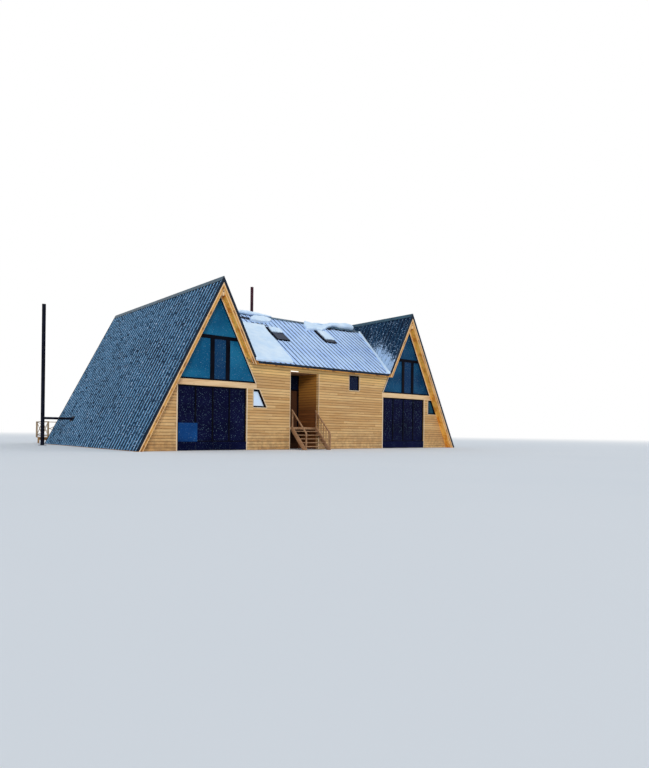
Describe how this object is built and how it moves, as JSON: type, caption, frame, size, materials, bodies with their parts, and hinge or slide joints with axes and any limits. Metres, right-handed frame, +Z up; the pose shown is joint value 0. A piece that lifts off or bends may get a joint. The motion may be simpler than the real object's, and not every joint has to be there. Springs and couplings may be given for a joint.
{
  "type": "twin a-frame cabin",
  "caption": "Two A-frame cabins joined by a lower gabled house, with board-clad gables, ribbed metal roofs, glazed gables, a recessed porch with a stair and rear decks.",
  "frame": {"origin": "ground level, at the centre of the bounding box's footprint", "axes": "+X along the front from the left A-frame to the right one, +Y from the front to the back, +Z up"},
  "size_m": [23.2294, 17.51, 9.56],
  "materials": {
    "wall_boards": "satin, honey-coloured horizontal boards with weathered joints",
    "beam_timber": "planed timber, satin",
    "fascia_wood": "planed boards, satin",
    "roof_deck": "rough boards, matt",
    "roof_sheet": "dark petrol ribbed sheet, semi-gloss",
    "middle_sheet": "ribbed sheet with a thin dusting of snow, matt",
    "dark_trim": "folded dark trim, semi-gloss",
    "dark_frame": "black window frames, satin",
    "gable_glazing": "teal tinted glass, glossy",
    "patio_glazing": "dark navy tinted glass, glossy",
    "small_glazing": "pale glass, glossy",
    "porch_wood": "brown stained boards, matt",
    "door_wood": "dark stained door leaf, satin",
    "stair_wood": "rough sawn timber, matt",
    "deck_wood": "weathered timber, matt",
    "pipe_metal": "black pipe, matt",
    "floor_base": "bare concrete, matt",
    "floor_wood": "floor boards, matt"
  },
  "bodies": {
    "house": {"ground_slabs": "floor_base", "middle_floor": "floor_wood", "loft_floors": "floor_wood", "left_outer_deck": "roof_deck", "left_inner_deck": "roof_deck", "right_inner_deck": "roof_deck", "right_outer_deck": "roof_deck", "left_outer_sheet": "roof_sheet", "left_inner_sheet": "roof_sheet", "right_inner_sheet": "roof_sheet", "right_outer_sheet": "roof_sheet", "middle_front_deck": "roof_deck", "middle_rear_deck": "roof_deck", "middle_front_sheet": "middle_sheet", "middle_rear_sheet": "middle_sheet", "ridge_caps": "dark_trim", "verge_trims": "dark_trim", "fascia_boards": "fascia_wood", "front_wall_left": "wall_boards", "front_wall_mid_left": "wall_boards", "front_wall_over_door": "wall_boards", "front_wall_mid_right": "wall_boards", "front_wall_right": "wall_boards", "loft_beams": "beam_timber", "rear_walls": "wall_boards", "porch_side_walls": "porch_wood", "porch_back_wall": "porch_wood", "porch_floor_and_ceiling": "porch_wood", "door_frame": "dark_frame", "stair_stringers": "stair_wood", "stair_treads": "stair_wood", "stair_railings": "stair_wood", "gable_frames": "dark_frame", "gable_glass": "gable_glazing", "patio_frames": "dark_frame", "patio_glass": "patio_glazing", "small_window_frames": "dark_frame", "small_window_glass": "small_glazing", "roof_windows": "dark_frame", "flue_stack": "pipe_metal", "roof_chimney": "pipe_metal", "rear_decks": "deck_wood", "deck_side_railings": "deck_wood", "deck_rear_railings": "deck_wood"},
    "door": {"entrance_door": "door_wood"}
  },
  "joints": [
    {"name": "door_hinge", "type": "hinge", "parent": "house", "child": "door", "pos_m": [0.0053, -5.525, 2.258], "axis": [0, 0, -1], "range_deg": [0, 90]}
  ]
}
